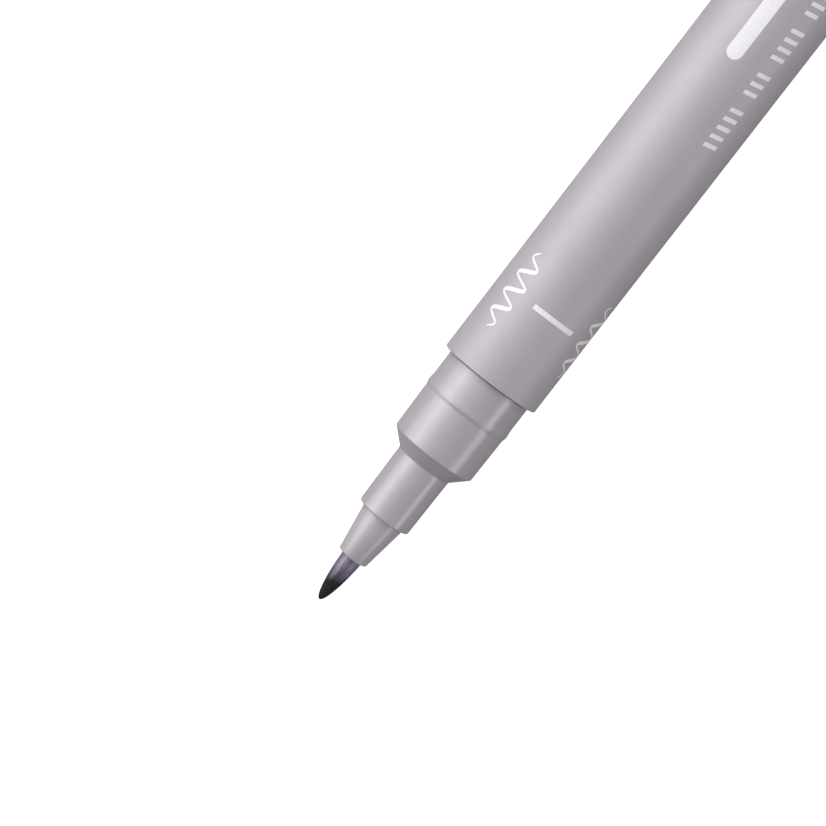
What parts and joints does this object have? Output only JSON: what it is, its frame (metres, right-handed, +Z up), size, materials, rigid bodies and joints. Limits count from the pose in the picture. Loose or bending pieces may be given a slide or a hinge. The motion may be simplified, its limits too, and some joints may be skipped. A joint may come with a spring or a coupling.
{
  "type": "calligraphy marker",
  "caption": "Slim round brush-tip calligraphy marker with a stepped grip section, tapered nib holder and ink-black fibre brush, its clipped cap pushed on to the tail.",
  "frame": {"origin": "middle of the underside, on the surface that the pen lies on", "axes": "+X along the pen's axis from the brush towards the tail and cap, +Z up, +Y away from the clip's side"},
  "size_m": [0.1624, 0.013, 0.0114],
  "materials": {
    "barrel_grey": "satin, fine texture, warm light grey",
    "moulding_grey": "semi-gloss, the same light grey",
    "white_plastic": "soft translucent white",
    "clear_film": "thin clear film",
    "reservoir_fibre": "bonded polyester fibre soaked with ink",
    "brush_fibre": "ink-soaked fibre, black with a violet cast",
    "clip_steel": "brushed along its length",
    "print_white": "screen-printed ink"
  },
  "bodies": {
    "pen": {"barrel": "barrel_grey", "tail_plug": "moulding_grey", "grip_section": "moulding_grey", "nib_ferrule": "moulding_grey", "ink_feed": "brush_fibre", "reservoir_core": "reservoir_fibre", "reservoir_wrap": "clear_film", "breather_tube": "white_plastic"},
    "brush": {"brush_tip": "brush_fibre"},
    "cap": {"cap_shell": "barrel_grey", "inner_cap": "white_plastic", "cap_crown": "moulding_grey"},
    "clip": {"pocket_clip": "clip_steel"}
  },
  "joints": [
    {"name": "cap_pull", "type": "slide", "parent": "pen", "child": "cap", "axis": [1, 0, 0], "range_m": [0, 0.012]},
    {"name": "clip_flex", "type": "hinge", "parent": "cap", "child": "clip", "pos_m": [0.07821, -0.00295, 0.00317], "axis": [0, -0.5605, 0.8281], "range_deg": [0, 5], "stiffness_Nm_per_rad": 1.2},
    {"name": "brush_bend", "type": "hinge", "parent": "pen", "child": "brush", "pos_m": [-0.07496, 0.00078, 0.00569], "axis": [0, 1, 0], "range_deg": [-18, 18], "stiffness_Nm_per_rad": 0.004}
  ]
}
